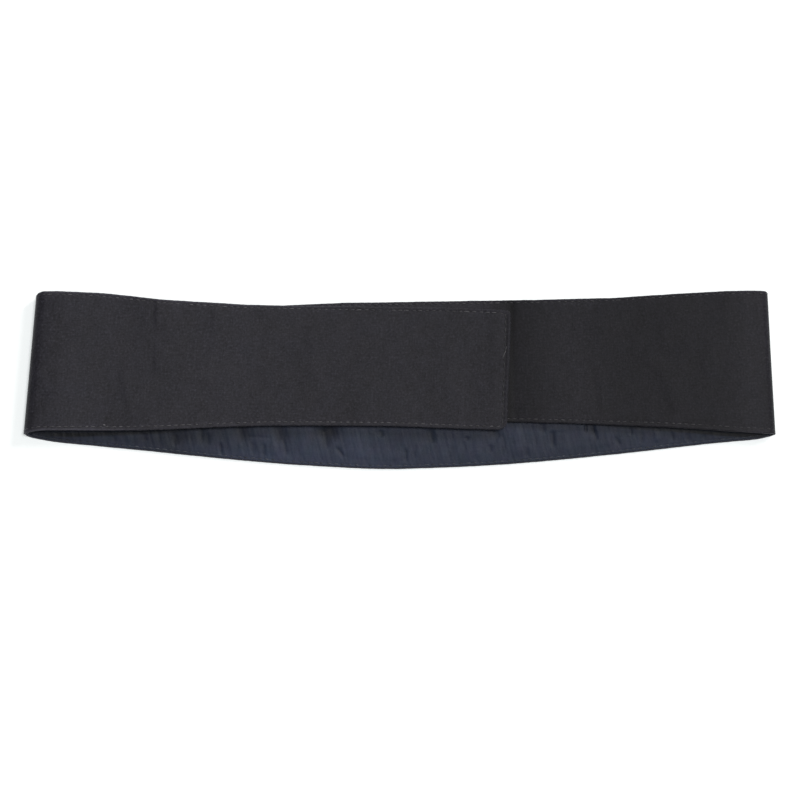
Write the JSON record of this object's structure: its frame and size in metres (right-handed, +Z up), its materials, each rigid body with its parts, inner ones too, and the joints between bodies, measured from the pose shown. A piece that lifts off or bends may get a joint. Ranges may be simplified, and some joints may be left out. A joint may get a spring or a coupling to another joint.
{
  "type": "cummerbund",
  "caption": "Plain shaped waist band of dark cloth with a navy lining, fastened into a ring by a rounded overlapping end and laid flat.",
  "frame": {"origin": "on the surface that the band lies on, under the middle of its bounding box", "axes": "+X along the flattened band towards the pressed fold on the underlap's side, +Y towards the band's upper edge, +Z up off the surface"},
  "size_m": [0.3758, 0.089, 0.0096],
  "materials": {
    "outer_cloth": "matt, very fine dark twill with a faint soft sheen",
    "lining_cloth": "smooth navy lining with a soft satin sheen"
  },
  "bodies": {
    "root": {"cloth_back": "outer_cloth", "cloth_left_fold": "outer_cloth", "cloth_overlap": "outer_cloth", "cloth_right_fold": "outer_cloth", "cloth_underlap": "outer_cloth", "lining_back": "lining_cloth", "lining_left_fold": "lining_cloth", "lining_overlap": "lining_cloth", "lining_right_fold": "lining_cloth", "lining_underlap": "lining_cloth"}
  },
  "joints": []
}
